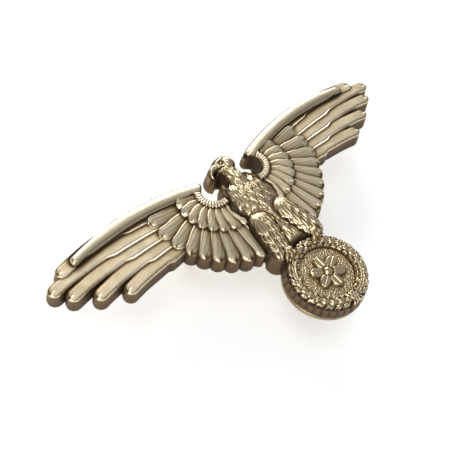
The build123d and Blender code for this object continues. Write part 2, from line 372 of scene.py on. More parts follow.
def relief_mesh(name, relief, seat_z, edge_round, hollow=True, mirror=False, rim=RIM, sheet=SHEET, patina_and_shade=1.0,
                joined=None):
    """Closed mesh of a relief: front, drafted wall, flat rim and hollow back.

    mirror makes the -X piece; a scale sets how much patina and painted shade darken the front's hollows.
    joined(x, y) is the distance to the piece that this one is soldered to: against it the wall stands
    upright.
    """
    pitch = relief.pitch
    outline = blur(relief.outline, 0.7)
    cells = kept_cells(outline < -0.35 * pitch)
    used = np.zeros(outline.shape, bool)
    for dj in (0, 1):
        for di in (0, 1):
            used[dj:dj + cells.shape[0], di:di + cells.shape[1]] |= cells
    index = np.cumsum(used).reshape(used.shape) - 1
    count = int(used.sum())
    rows, columns = np.nonzero(used)
    col, row = columns.astype(float), rows.astype(float)
    loops = [np.array(loop) for loop in boundary_loops(cells, index)]
    edge = np.concatenate(loops)
    snap_to_outline(outline, pitch, col, row, edge)
    x = relief.x[0, 0] + col * pitch
    y = relief.y[0, 0] + row * pitch
    depth = np.clip(-outline[rows, columns], 0, None)
    depth[edge] = 0
    rolled = np.clip(edge_round - depth, 0, edge_round)
    drop = edge_round - np.sqrt(edge_round ** 2 - rolled ** 2 + 1e-12)
    z = relief.top[rows, columns] - drop
    # patina and painted shade on the front: darker in its hollows, lighter on its ridges
    dark = sum(share * (relief.hollows(width)[rows, columns] / deep) for width, deep, share in CAVITY_SCALES)
    cavity = np.clip(patina_and_shade * dark, -1, 1)

    # groove: how far the metal wraps round each edge point, used to paint shade on the wall, darker between
    # lobes and lighter at their tips
    groove = np.clip(-blur(relief.outline, 0.45 / pitch)[rows, columns] / 0.5, -0.5, 1)
    back_number = np.full(count, -1)
    rings, faces = [], []
    offset = count
    for loop in loops:
        draft = WALL_DRAFT * (1.0 if joined is None else smoothstep(joined(x[loop], y[loop]), 0.15, 1.0))
        before = loop
        for ring in wall_rings(x[loop], y[loop], z[loop], seat_z, groove[loop], draft):
            rings.append(ring)
            now = np.arange(offset, offset + len(loop))
            offset += len(loop)
            faces.append(np.stack([before, now, np.roll(now, -1), np.roll(before, -1)], axis=1))
            before = now
        back_number[loop] = before
    wall_x, wall_y, wall_z, wall_shade = (np.concatenate(part) for part in zip(*rings))

    fj, fi = np.nonzero(cells)
    front = np.stack([index[fj, fi], index[fj, fi + 1], index[fj + 1, fi + 1], index[fj + 1, fi]], axis=1)
    inner = np.ones(count, bool)
    inner[edge] = False
    back_number[inner] = offset + np.arange(int(inner.sum()))
    smooth_top = relief.smoothed(0.6)[rows, columns]
    lift = smoothstep(depth, rim, rim + 0.7) if hollow else np.zeros(count)
    grain = value_noise(x, y, 0.7, 11) * 0.05 + value_noise(x, y, 0.25, 12) * 0.02
    ceiling = np.maximum(np.minimum(smooth_top - sheet, z - MIN_SHEET), seat_z)
    back_z = seat_z + lift * (ceiling - seat_z + grain)

    vx = np.concatenate([x, wall_x, x[inner]])
    vy = np.concatenate([y, wall_y, y[inner]])
    vz = np.concatenate([z, wall_z, back_z[inner]])
    shade = np.concatenate([cavity, wall_shade, 0.25 + 0.35 * lift[inner]])
    faces = np.concatenate([front, *faces, back_number[front][:, ::-1]])
    if mirror:
        vx, faces = -vx, faces[:, ::-1]
    return new_object(name, np.stack([vx, vy, vz], axis=1), faces, shade)


def linked(name, data):
    """New object in the scene."""
    made = bpy.data.objects.new(name, data)
    bpy.context.scene.collection.objects.link(made)
    return made


def new_object(name, points, faces, cavity=None):
    """Smooth-shaded object from points in millimetres, with a cavity value of patina and painted shade at
    each point.
    """
    mesh = bpy.data.meshes.new(name)
    faces = faces.tolist() if isinstance(faces, np.ndarray) else faces
    mesh.from_pydata((np.asarray(points) * MM).tolist(), [], faces)
    mesh.shade_smooth()
    attribute = mesh.attributes.new("cavity", "FLOAT", "POINT")
    values = np.zeros(len(points)) if cavity is None else cavity
    attribute.data.foreach_set("value", np.asarray(values, dtype=np.float32))
    mesh.validate()
    mesh.update()
    return linked(name, mesh)


# -------- feathers

# A feather's shaft and raised edge, as half widths, the groove beside the edge, and the pitch of its barbs
SHAFT_HALF = 0.11
EDGE_HALF = 0.15
EDGE_GROOVE_IN, EDGE_GROOVE_HALF = 0.34, 0.13
BARB_PITCH = 0.45


def rounded(q, flatness=1.0):
    """Height of a rounded section, from 0 to 1, with q from -1 to 1 across it."""
    return np.sqrt(np.clip(1 - flatness * q * q, 0, 1))


def feather(relief, root, tip, half, z, bow=0.0, root_share=0.7, tip_share=0.8, lift=0.2, crown=0.07,
            tilt=0.0, shaft=0.0, rim=0.0, barbs=0.0, lines=0.0, notch=None, ground=None, point=0.0, **stroke):
    """One feather: wide in the middle, lifted at its tip, with a raised edge, a shaft and barbs or lines.

    tilt lifts its left edge over its neighbour; notch = (share, ratio) narrows it from that share of its
    length; a negative point draws the tip out; ground(x, y) is added to z.
    """
    curve = Curve(root, tip, bow)

    def width(s):
        ends = root_share + (1 - root_share) * np.sin(np.clip(s / 0.6, 0, 1) * math.pi / 2)
        taper = 1 - (1 - tip_share) * smoothstep(s, 0.55, 1.0) ** (1 + point)
        wide = half * ends * taper
        if notch:
            wide = wide * (1 - (1 - notch[1]) * smoothstep(s, notch[0] - 0.04, notch[0] + 0.04))
        return wide

    def height(s, q, across, x, y):
        from_edge = half * (1 - np.abs(q))
        value = z + lift * s + crown * (1 - q * q) + tilt * q
        value += shaft * np.exp(-(across / SHAFT_HALF) ** 2) * (1 - smoothstep(s, 0.85, 1.0))
        groove = np.exp(-((from_edge - EDGE_GROOVE_IN) / EDGE_GROOVE_HALF) ** 2)
        value += rim * np.exp(-(from_edge / EDGE_HALF) ** 2) - 0.7 * rim * groove
        if barbs:
            phase = s * curve.length - 0.8 * np.abs(across)
            value += barbs * np.sin(2 * math.pi * phase / BARB_PITCH) * (1 - np.abs(q) ** 3)
        if lines:
            value += lines * np.cos(2 * math.pi * across / LINE_PITCH) * (1 - np.abs(q) ** 4)
        if ground is not None:
            value += ground(x, y)
        return value

    relief.stroke(curve, width, height, **stroke)


def bead(relief, x, y, radius, z, rise, **stroke):
    """One round bead."""
    curve = Curve((x - 0.01, y), (x + 0.01, y), steps=1)
    relief.stroke(curve, lambda s: np.full(s.shape, radius),
                  lambda s, q, across, px, py: z + rise * rounded(q), **stroke)


# Wing plan, the same as the CAD wing
NOTCH = (4.9, 3.8)
NOTCH_R = 2.3
BEAD_R = 3.6
SLOT_IN, SLOT_HALF = 2.1, 2.9
WEB_CENTRE, WEB_R = (8.5, -0.5), 7.01
BAR_ROOT, BAR_TIP, BAR_BOW = (6.9, 6.1), (33.0, 7.3), 1.8
PRIMARY_TIPS = [(37.0, 7.2), (40.0, 5.1), (38.0, 2.6), (34.4, 0.0), (29.8, -2.2)]
PRIMARY_ROOT = (13.4, 6.2)
PRIMARY_ROOT_STEP = 1.8
PRIMARY_HALF, SECONDARY_HALF, COVERT_HALF, RIB_HALF = 1.86, 1.5, 1.16, 0.3
PRIMARY_Z, SECONDARY_Z, COVERT_Z, RIB_Z = 4.12, 4.14, 4.64, 4.95
RIBS = 17
BAR_HALF, BAR_Z = 1.1, 4.88
LEDGE_WIDTH, LEDGE_Z = 0.36, 4.78
SECONDARY_ANGLES = [7.0, -6.5, -20.0, -32.0, -43.0, -53.5, -64.0, -74.5, -85.0, -96.0]
COVERTS = 8


def wing_relief():
    """+X wing: primaries, secondaries, coverts, the ribbed edge of the notch and the leading bar."""
    relief = Relief(WING_LOW[:2] - 1.5, WING_HIGH[:2] + 1.0, WING_PITCH, base=3.9)
    for i in reversed(range(len(PRIMARY_TIPS))):
        root = np.array([PRIMARY_ROOT[0], PRIMARY_ROOT[1] - PRIMARY_ROOT_STEP * i])
        tip = np.array(PRIMARY_TIPS[i])
        inward = (root - tip) / np.hypot(*(root - tip))
        step_at = 0.6 - 0.04 * i if i else 0.42
        feather(relief, root, tip + inward * 1.25, PRIMARY_HALF, PRIMARY_Z - 0.05 * i, bow=1.5 - 0.24 * i,
                root_share=0.66, tip_share=0.86, lift=0.2, crown=0.02, tilt=-0.13, rim=0.1,
                notch=(step_at, 0.76))
    for angle in SECONDARY_ANGLES:
        low_down = smoothstep(-angle, 30.0, 96.0)
        feather(relief, polar(NOTCH, 5.5, angle), polar(NOTCH, 12.5 + 1.9 * low_down, angle), SECONDARY_HALF,
                SECONDARY_Z + 0.3 * low_down, root_share=0.6, tip_share=0.9, lift=0.24, crown=0.05, tilt=0.19,
                rim=0.06, lines=LINE_HEIGHT, bow=-0.2)
    for i in range(COVERTS):
        angle = 12.0 - 106.0 * i / (COVERTS - 1)
        feather(relief, polar(NOTCH, 3.4, angle), polar(NOTCH, 6.6 + 0.2 * i, angle), COVERT_HALF, COVERT_Z,
                root_share=0.5, tip_share=0.88, lift=0.24, crown=0.06, tilt=0.17, rim=0.055,
                lines=LINE_HEIGHT, bow=-0.12)
    for i in range(RIBS):
        angle = 52.0 - 160.0 * i / (RIBS - 1)
        feather(relief, polar(NOTCH, NOTCH_R, angle), polar(NOTCH, BEAD_R - 0.25, angle), RIB_HALF, RIB_Z,
                root_share=0.8, tip_share=1.0, lift=0.05, crown=0.2)
    bar = Curve(BAR_ROOT, BAR_TIP, BAR_BOW, steps=60)
    bar_width = lambda s: BAR_HALF - 0.25 * smoothstep(s, 0.6, 1.0)
    relief.stroke(bar, lambda s: bar_width(s) + LEDGE_WIDTH * (1 - smoothstep(s, 0.86, 0.97)),
                  lambda s, q, a, x, y: np.where((a < 0) & (s > 0.12) & (s < 0.99), LEDGE_Z, 0),
                  extend=False, keep_higher=True)
    relief.stroke(bar, bar_width,
                  lambda s, q, a, x, y: BAR_Z + 0.36 * np.clip(1 - np.abs(q) ** 2.6, 0, 1) ** 0.6 - 0.1 * q)
    return relief


def make_wings(bird):
    """Both wings, from one relief, trimmed to either side of the bird. Returns the relief."""
    relief = wing_relief()
    web = np.hypot(relief.x - WEB_CENTRE[0], (relief.y - WEB_CENTRE[1]) * 0.9) < WEB_R
    relief.outline = np.minimum(relief.outline, np.where(web, -1.0, FAR))
    notch = np.hypot(relief.x - NOTCH[0], relief.y - NOTCH[1]) - NOTCH_R
    slot = np.maximum(np.abs(relief.x - NOTCH[0] + SLOT_IN) - SLOT_HALF, NOTCH[1] - relief.y)
    relief.outline = np.maximum(relief.outline, -np.minimum(notch, slot))
    to_bird = lambda x, y: np.minimum(outline_at(bird, x, y), outline_at(bird, -x, y))
    relief.outline = np.maximum(relief.outline, JOINT_GAP - to_bird(relief.x, relief.y))
    relief.top += value_noise(relief.x, relief.y, 2.3, 3) * 0.015
    relief.soften(0.075)
    for side, mirror in (("right", False), ("left", True)):
        wing = relief_mesh(f"{side}_wing_relief", relief, SEAT_Z, 0.26, mirror=mirror, patina_and_shade=0.86,
                           joined=to_bird)
        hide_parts(f"{side}_wing")
        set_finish(wing, "struck_metal")
        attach(wing, "badge")
    return relief


# -------- bird's body

TORSO_HALF, TORSO_Y = (4.1, 6.9), -3.1
NECK, NECK_HALF = (0.25, 4.0), (1.55, 3.0)
BELLY_Y, BELLY_HALF = -9.5, (2.6, 8.0)
HEAD, HEAD_HALF = (0.4, 6.85), (2.3, 1.9)
BEAK_TIP = (-3.1, 5.4)
THIGH_ROOT, THIGH_TIP = (2.6, -6.6), (4.1, -14.4)
TAIL_ROOT = (0.0, -5.0)
TAIL_FEATHERS, TAIL_HALF_ANGLE, TAIL_LENGTH = 5, 30.0, 11.3
LEG_HALF, LEG_CUT = 2.35, 1.2
LEG_WEB_Y, LEG_WEB_HALF = -10.0, (3.0, 5.0)
ANKLE = (3.1, -13.0, 5.75)
TOE_STEPS, TOE_REACH = 22, 2.9
SKULL_POWER = 2.3


def dome(x, y, centre, half, low, high):
    """Height of half an ellipsoid over the plan, and low outside it."""
    inside = 1 - ((x - centre[0]) / half[0]) ** 2 - ((y - centre[1]) / half[1]) ** 2
    return np.where(inside > 0, low + (high - low) * np.sqrt(np.clip(inside, 0, 1)), low)


def leg_ends(side):
    """Top and foot of one leg's centre line."""
    mirror = np.array([side, 1])
    return mirror * THIGH_ROOT, mirror * THIGH_TIP + (0, LEG_CUT)


def leg_width(share):
    """Half width of a leg at a share of the way down."""
    return LEG_HALF - 0.45 * smoothstep(share, 0.4, 1.0)


def leg_dome(x, y, side):
    """Height of one feathered leg."""
    share, _, distance = Curve(*leg_ends(side)).locate(x, y)
    half = leg_width(share)
    lobe = 5.0 + (1.15 - 0.3 * share) * np.sqrt(np.clip(1 - (distance / half) ** 2, 0, 1))
    lobe = np.maximum(lobe, breast_ground(x, y) + 0.12)
    lobe += 0.2 * np.exp(-((half - distance - 0.2) / 0.16) ** 2)
    return np.where(distance < half, lobe, np.maximum(breast_ground(x, y), 4.6))


def breast_ground(x, y):
    """Body surface under the breast, neck and belly feathers."""
    torso = dome(x, y, (0, TORSO_Y), (4.4, 7.4), 4.3, 5.85)
    neck = dome(x, y, (NECK[0], 3.6), (2.0, 6.4), 4.3, 5.75)
    belly = dome(x, y, (0, BELLY_Y), BELLY_HALF, 4.4, 5.35)
    return np.maximum(np.maximum(torso, neck), belly)


def leg_ground(x, y):
    """Body surface under the leg feathers."""
    return np.maximum(leg_dome(x, y, -1), leg_dome(x, y, 1))


def tail_feathers(relief):
    """Narrow fan of feathers between the legs."""
    angles = np.linspace(-TAIL_HALF_ANGLE, TAIL_HALF_ANGLE, TAIL_FEATHERS)
    for angle in sorted(angles, key=lambda a: -abs(a)):
        length = TAIL_LENGTH * math.cos(math.radians(0.55 * angle)) - 1.1
        z = 3.5 + 0.6 * math.cos(math.radians(angle)) ** 4
        feather(relief, TAIL_ROOT, polar(TAIL_ROOT, length, angle - 90), 1.3, z, root_share=0.5,
                tip_share=0.85, lift=0.35, crown=0.14, tilt=0.06 * np.sign(angle), shaft=0.1, rim=0.07,
                barbs=0.02)


def leg_feathers(relief):
    """Two columns of broad grooved feathers down each leg, laid from the foot upwards."""
    rng = np.random.default_rng(5)
    for side in (-1, 1):
        top, foot = leg_ends(side)
        relief.stroke(Curve(top, foot), leg_width, lambda s, q, a, x, y: leg_dome(x, y, side))
        for row, column in [(row, column) for row in range(4) for column in (-1, 1)]:
            share = 1.0 - 0.26 * row - (0.13 if column > 0 else 0.0)
            middle = top + (foot - top) * share
            root = middle + (0.5 * column - 0.1 * side, 2.0)
            tip = middle + (1.0 * column + 0.25 * side, -2.1 + rng.uniform(-0.15, 0.15))
            feather(relief, root, tip, 1.12, 0.0, root_share=0.45, tip_share=0.06, lift=0.5, crown=0.1,
                    shaft=-0.2, rim=0.18, point=-0.3, bow=0.3 * column, ground=leg_ground, extend=False)


def breast_feathers(relief):
    """Overlapping long pointed feathers, laid from the belly up to the neck."""
    rng = np.random.default_rng(8)
    y = -13.0
    row = 0
    while y < 6.0:
        fullness = math.sqrt(max(0.03, 1 - ((y - TORSO_Y - 0.6) / 7.9) ** 2))
        reach = 3.8 * fullness if y > -8 else 1.5
        if y > 1.0:
            reach = max(reach, 1.5)
        size = float(1.0 - 0.34 * smoothstep(y, -1.5, 5.5))
        step = 1.5 * size
        shift = 0.5 * step if row % 2 else 0.0
        places = {round(sign * (shift + k * step), 4) for k in range(4) for sign in (1, -1)}
        for x in sorted((p for p in places if abs(p) <= reach), key=lambda a: (-abs(a), a)):
            centre = 0.3 * smoothstep(y, 1.0, 5.0)
            splay = 0.16 * x + rng.uniform(-0.14, 0.14)
            length = 4.0 * size * rng.uniform(0.92, 1.08)
            root = (centre + x - splay, y + 0.55 * length)
            tip = (centre + x + splay, y - 0.45 * length)
            feather(relief, root, tip, 0.86 * size, 0.1, root_share=0.6, tip_share=0.1, lift=0.4, crown=0.2,
                    shaft=-0.14, rim=0.1, point=-0.3, bow=rng.uniform(-0.1, 0.1) + 0.06 * x,
                    ground=breast_ground, extend=abs(x) > 2.4 and y > -5.0)
        y += 1.62 * size
        row += 1


def skull_reach(x, y):
    """0 at the skull's centre, 1 on its outline."""
    u, v = np.abs((x - HEAD[0]) / HEAD_HALF[0]), np.abs((y - HEAD[1]) / HEAD_HALF[1])
    return u ** SKULL_POWER + v ** SKULL_POWER


def head_height(x, y):
    """Smooth skull, a little flattened on top."""
    return 4.75 + 1.2 * np.sqrt(np.clip(1 - skull_reach(x, y), 0, 1))


def make_head(relief):
    """Hooked beak, smooth face with brow and eye, and feathers over the nape and throat."""
    ridge = lambda low, rise, fall: lambda s, q, a, x, y: low + (rise - fall * s) * rounded(q, 0.85)
    lower = Curve((HEAD[0] - 1.0, HEAD[1] - 0.75), (BEAK_TIP[0] + 0.95, BEAK_TIP[1] + 0.55), bow=0.12)
    relief.stroke(lower, lambda s: 0.46 - 0.26 * s, ridge(4.6, 0.75, 0.25))
    culmen = Curve((HEAD[0] - 1.2, HEAD[1] + 0.35), (BEAK_TIP[0] + 0.6, HEAD[1] + 0.15), bow=-0.12)
    relief.stroke(culmen, lambda s: 0.86 - 0.2 * s, ridge(4.8, 1.1, 0.15))
    hook = Curve((BEAK_TIP[0] + 0.66, HEAD[1] + 0.15), BEAK_TIP, bow=-0.34)
    relief.stroke(hook, lambda s: 0.66 - 0.56 * s, ridge(4.8, 0.95, 0.35), keep_higher=True)
    skull = skull_reach(relief.x, relief.y)
    relief.outline = np.minimum(relief.outline, (skull ** (1 / SKULL_POWER) - 1) * 2.0)
    relief.top = np.where(skull < 1, np.maximum(relief.top, head_height(relief.x, relief.y)), relief.top)
    nape = lambda x, y: np.maximum(head_height(x, y), breast_ground(x, y)) + 0.04
    for start, reach, places in ((5.0, 1.7, (-0.7, 0.1, 0.9, 1.7)), (5.7, 1.6, (0.5, 1.25, 2.0)),
                                 (6.5, 1.5, (1.0, 1.7, 2.3)), (7.4, 1.4, (1.4, 2.1))):
        for x in places:
            feather(relief, (x - 0.1, start + 0.9), (x + 0.15, start - reach), 0.48, 0.0, root_share=0.6,
                    tip_share=0.12, lift=0.24, crown=0.1, shaft=-0.08, rim=0.07, ground=nape, extend=False)
    gape = Curve((HEAD[0] - 0.7, HEAD[1] - 0.5), (BEAK_TIP[0] + 0.75, HEAD[1] - 0.45), bow=-0.1)
    relief.top -= 0.35 * np.exp(-(gape.locate(relief.x, relief.y)[2] / 0.12) ** 2)
    cere = Curve((HEAD[0] - 1.75, HEAD[1] + 1.1), (HEAD[0] - 1.55, HEAD[1] - 0.4), bow=0.12)
    relief.top -= 0.2 * np.exp(-(cere.locate(relief.x, relief.y)[2] / 0.1) ** 2)
    brow = Curve((HEAD[0] - 1.5, HEAD[1] + 0.75), (HEAD[0] + 0.6, HEAD[1] + 1.1), bow=0.12)
    relief.stroke(brow, lambda s: 0.14 + 0.2 * np.sin(math.pi * np.clip(s, 0, 1)),
                  lambda s, q, a, x, y: head_height(x, y) + 0.34 * rounded(q), keep_higher=True, extend=False)
    eye_x, eye_y = HEAD[0] - 0.5, HEAD[1] + 0.35
    eye_z = head_height(eye_x, eye_y)
    bead(relief, eye_x, eye_y, 0.46, eye_z - 0.22, 0.0, extend=False)
    bead(relief, eye_x, eye_y, 0.3, eye_z - 0.2, 0.34, extend=False)
    bead(relief, HEAD[0] - 2.05, HEAD[1] + 0.3, 0.12, 5.35, 0.0, extend=False)


def bird_relief():
    """Tail, legs, breast, neck and head, each laid over the one before."""
    relief = Relief(BODY_LOW[:2] - 1.0, BODY_HIGH[:2] + 1.0, BODY_PITCH, base=3.6)
    tail_feathers(relief)
    torso = np.hypot(relief.x / TORSO_HALF[0], (relief.y - TORSO_Y) / TORSO_HALF[1]) - 1
    relief.outline = np.minimum(relief.outline, torso * TORSO_HALF[0])
    neck = np.maximum(np.abs(relief.x - NECK[0]) - NECK_HALF[0], np.abs(relief.y - NECK[1]) - NECK_HALF[1])
    relief.outline = np.minimum(relief.outline, neck)
    web = np.maximum(np.abs(relief.x) - LEG_WEB_HALF[0], np.abs(relief.y - LEG_WEB_Y) - LEG_WEB_HALF[1])
    relief.outline = np.minimum(relief.outline, web)
    ground = breast_ground(relief.x, relief.y)
    relief.top = np.where(np.minimum(torso, neck) < 0, ground, relief.top)
    belly = 1 - (relief.x / BELLY_HALF[0]) ** 2 - ((relief.y - BELLY_Y) / BELLY_HALF[1]) ** 2
    relief.top = np.where(belly > 0, np.maximum(relief.top, ground), relief.top)
    breast_feathers(relief)
    leg_feathers(relief)
    make_head(relief)
    return relief


def about_wreath(relief):
    """The grid's plan, measured from the wreath's centre."""
    return relief.x - WREATH_CENTRE[0], relief.y - WREATH_CENTRE[1]


def outline_at(relief, x, y):
    """The relief's outline distance at plan points."""
    return sample(relief.outline, (x - relief.x[0, 0]) / relief.pitch, (y - relief.y[0, 0]) / relief.pitch)


def make_bird(relief, wing):
    """Body relief, cut to sit against the wreath, with upright walls against the wings."""
    wreath = np.hypot(*about_wreath(relief)) - WREATH_R - RING_GAP
    relief.outline = np.maximum(relief.outline, -wreath)
    between_feet = 1 - smoothstep(np.abs(relief.x), 1.5, 2.6)
    relief.top -= np.clip(relief.top - 5.0, 0, None) * between_feet * (1 - smoothstep(wreath, 0.0, 1.2))
    relief.top += value_noise(relief.x, relief.y, 1.7, 4) * 0.02
    relief.fill_pits(1.0, 0.42)
    relief.fill_pits(0.5, 0.28)
    relief.soften(0.075)
    to_wing = lambda x, y: outline_at(wing, np.abs(x), y)
    bird = relief_mesh("bird_body_relief", relief, SEAT_Z, 0.3, rim=1.2, sheet=1.2, patina_and_shade=0.8,
                       joined=to_wing)
    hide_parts("bird_body")
    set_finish(bird, "struck_metal")
    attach(bird, "badge")


def tube_faces(rings, sides, closed=False):
    """Faces round a tube of rings of points, capped at both ends unless it closes on itself."""
    total = rings * sides
    faces = []
    for k in range(rings if closed else rings - 1):
        for i in range(sides):
            a, b = k * sides + i, k * sides + (i + 1) % sides
            faces.append((a, b, (b + sides) % total, (a + sides) % total))
    if not closed:
        faces += [tuple(reversed(range(sides))), tuple(range(total - sides, total))]
    return faces


def limb(name, path, radii, sides=20):
    """Capped tube through points with a radius at each."""
    points = []
    path = [Vector(p) for p in path]
    for k, (centre, radius) in enumerate(zip(path, radii)):
        ahead = path[min(k + 1, len(path) - 1)] - path[max(k - 1, 0)]
        across = ahead.cross(Vector((0, 0, 1))).normalized()
        up = across.cross(ahead).normalized()
        for i in range(sides):
            angle = 2 * math.pi * i / sides
            points.append(tuple(centre + across * radius * math.cos(angle) + up * radius * math.sin(angle)))
    return new_object(name, points, tube_faces(len(path), sides), np.full(len(points), 0.05))


def make_feet():
    """Three clawed toes of each foot, bent over the top of the wreath."""
    for side, word in ((-1, "left"), (1, "right")):
        for toe, spread in enumerate((-26, 0, 26)):
            path, radii = [], []
            for k in range(TOE_STEPS + 1):
                s = k / TOE_STEPS
                x, y = polar((side * ANKLE[0], ANKLE[1]), TOE_REACH * s, -90 + side * 8 + spread)
                knuckle = 0.08 * math.cos(2 * math.pi * 3 * s) * (1 - smoothstep(s, 0.6, 0.75))
                claw = 1 - 0.85 * smoothstep(s, 0.72, 1.0)
                swell = 0.42 * math.sin(math.pi * min(1.0, s / 0.08) / 2)
                radii.append(max((swell + knuckle) * claw, 0.03))
                path.append((x, y, ANKLE[2] + 0.25 * math.sin(math.pi * s) - 0.55 * s ** 3))
            made = limb(f"{word}_toe_{toe}", path, radii)
            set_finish(made, "struck_metal")
            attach(made, "badge")


# -------- wreath and roundel

LEAF_STATIONS, LEAF_FROM, LEAF_TO = 13, -80.0, 76.0
LEAF_Z, TOP_LEAF_Z = 4.85, 5.08
FLUTES, FLUTE_DEPTH = 34, 0.34
RING_GAP = 0.02
FIELD_Z, PEBBLE_SPACING, PEBBLE_R = 4.3, 0.27, 0.17
PETALS, PETAL_CENTRE, PETAL_HALF = 6, 2.05, (1.45, 1.02)
BUTTON_R, COLLAR_R = 0.86, 1.12


def wreath_relief():
    """Laurel: three leaves at each station and a few berries, both halves growing up from the tie."""
    low, high = WREATH_CENTRE - WREATH_R - 0.7, WREATH_CENTRE + WREATH_R + 0.7
    relief = Relief(low, high, WREATH_PITCH, base=4.55)
    x, y = about_wreath(relief)
    radius, angle = np.hypot(x, y), np.arctan2(y, x)
    free = smoothstep(np.abs(angle - math.pi / 2), 0.75, 0.95)
    rim = radius - (WREATH_R - 0.05) + FLUTE_DEPTH * free * (1 - np.abs(np.cos(FLUTES / 2 * angle))) ** 1.6
    relief.outline = np.maximum(rim, FIELD_R + RING_GAP - radius)
    relief.top += 0.2 * np.sin(np.clip((radius - FIELD_R) / (WREATH_R - FIELD_R), 0, 1) * math.pi)
    rng = np.random.default_rng(14)
    leaf = dict(root_share=0.35, tip_share=0.08, lift=0.3, crown=0.2, shaft=-0.14, rim=0.08, point=-0.2)
    for side in (1, -1):
        at = lambda r, a: polar(WREATH_CENTRE, r, a if side > 0 else 180 - a)
        for k, station in enumerate(np.linspace(LEAF_FROM, LEAF_TO, LEAF_STATIONS)):
            sway = rng.uniform(-1.5, 1.5, 3)
            feather(relief, at(6.5, station - 2), at(WREATH_R - 0.25, station + 15 + sway[0]), 0.56,
                    LEAF_Z, bow=0.14 * side, extend=False, **leaf)
            feather(relief, at(5.9, station - 1), at(FIELD_R + RING_GAP, station + 16 + sway[1]), 0.56,
                    LEAF_Z, bow=-0.14 * side, **leaf)
            feather(relief, at(6.2, station - 6), at(6.3, station + 11 + sway[2]), 0.54, TOP_LEAF_Z,
                    extend=False, **leaf)
            if k % 3 == 1:
                for reach in (5.62, 6.88):
                    x, y = at(reach, station + 8.0)
                    bead(relief, x, y, 0.22, TOP_LEAF_Z, 0.24, keep_higher=True, extend=False)
    for angle, reach in ((90.0, 6.95), (85.5, 6.2), (94.5, 6.2), (90.0, 5.5)):
        x, y = polar(WREATH_CENTRE, reach, angle)
        bead(relief, x, y, 0.42, 4.95, 0.42, keep_higher=True, extend=False)
    tie(relief)
    return relief


def tie(relief):
    """Crossed ribbon at the wreath's foot."""
    foot = WREATH_CENTRE + (0, -(WREATH_R + FIELD_R) / 2)
    for side in (1, -1):
        for reach in (-0.55, 0.0, 0.55):
            start = foot + (side * (reach - 0.55), -1.25)
            end = foot + (side * (reach + 0.55), 1.2)
            relief.stroke(Curve(start, end), lambda s: np.full(s.shape, 0.2),
                          lambda s, q, a, x, y: 5.25 + 0.22 * rounded(q, 0.7), keep_higher=True, extend=False)


def make_wreath():
    """Ring of leaves with a fluted wall."""
    relief = wreath_relief()
    relief.soften(0.055)
    ring = relief_mesh("wreath_relief", relief, WREATH_SEAT_Z, 0.2, hollow=False, patina_and_shade=0.82)
    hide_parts("wreath_ring")
    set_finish(ring, "struck_metal")
    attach(ring, "badge")


def scattered(rng, radius, spacing, tries=9000):
    """Points at least a spacing apart inside a circle."""
    kept = np.zeros((0, 2))
    for _ in range(tries):
        point = rng.uniform(-radius, radius, 2)
        if np.hypot(*point) < radius and (not len(kept) or np.hypot(*(kept - point).T).min() > spacing):
            kept = np.vstack([kept, point])
    return kept


def make_roundel():
    """Pebbled field with a plain six-petalled rosette."""
    low, high = WREATH_CENTRE - FIELD_R - 0.5, WREATH_CENTRE + FIELD_R + 0.5
    relief = Relief(low, high, ROUNDEL_PITCH, base=FIELD_Z)
    x, y = about_wreath(relief)
    radius = np.hypot(x, y)
    relief.outline = radius - FIELD_R
    for px, py in scattered(np.random.default_rng(21), FIELD_R - 0.1, PEBBLE_SPACING):
        bead(relief, WREATH_CENTRE[0] + px, WREATH_CENTRE[1] + py, PEBBLE_R, FIELD_Z, 0.1, extend=False)
    relief.soften(0.05)
    for k in range(PETALS):
        turn = math.radians(90 + 360 / PETALS * k)
        along, across = x * math.cos(turn) + y * math.sin(turn), y * math.cos(turn) - x * math.sin(turn)
        petal = np.hypot((along - PETAL_CENTRE) / PETAL_HALF[0], across / PETAL_HALF[1]) - 1
        crown = 5.12 - 0.16 * across ** 2 - 0.1 * np.exp(-(across / 0.13) ** 2)
        crown -= 0.12 * smoothstep(along, 2.9, 3.5)
        foot = FIELD_Z + 0.05
        height = foot + (crown - foot) * smoothstep(-petal, 0.0, 0.16)
        relief.top = np.where(petal < 0, np.maximum(relief.top, height), relief.top)
    collar = smoothstep(COLLAR_R - radius, 0.0, 0.12)
    relief.top = relief.top * (1 - collar) + collar * 4.75
    relief.top = np.where(radius < BUTTON_R, 5.0 + 0.4 * rounded(radius / BUTTON_R), relief.top)
    disc = relief_mesh("roundel_relief", relief, WREATH_SEAT_Z, 0.1, hollow=False, patina_and_shade=0.28)
    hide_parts("roundel")
    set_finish(disc, "struck_metal")
    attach(disc, "badge")


# -------- fittings

SHANK_R, THREAD_PITCH, THREAD_DEPTH = 1.5, 0.5, 0.26
SNAP_GROOVE_Z, SNAP_GROOVE_HALF, SNAP_GROOVE_R = -3.85, 0.35, 1.15
BORE_R, BOSS_R, BOSS_HEIGHT = 1.55, 2.8, 0.6
KNURLS, KNURL_LEAN, KNURL_DEPTH = 44, 1.35, 0.16


def turned(name, centre, rings, sides, cut, closed=False):
    """Turned shape from (radius, z) rings; cut(angle, radius, z) gives the final radius."""
    points = []
    for radius, z in rings:
        for i in range(sides):
            angle = 2 * math.pi * i / sides
            r = cut(angle, radius, z)
            points.append((centre[0] + r * math.cos(angle), centre[1] + r * math.sin(angle), z))
    return new_object(name, points, tube_faces(len(rings), sides, closed))


def thread(angle, radius, z):
    """Radius of a post with its thread and snap groove."""
    if radius < 1.1 or z > SEAT_Z - 0.34:
        return radius
    if abs(z - SNAP_GROOVE_Z) < SNAP_GROOVE_HALF:
        return SNAP_GROOVE_R
    phase = (z / THREAD_PITCH - angle / (2 * math.pi)) % 1.0
    return radius - THREAD_DEPTH * (1 - abs(2 * phase - 1))


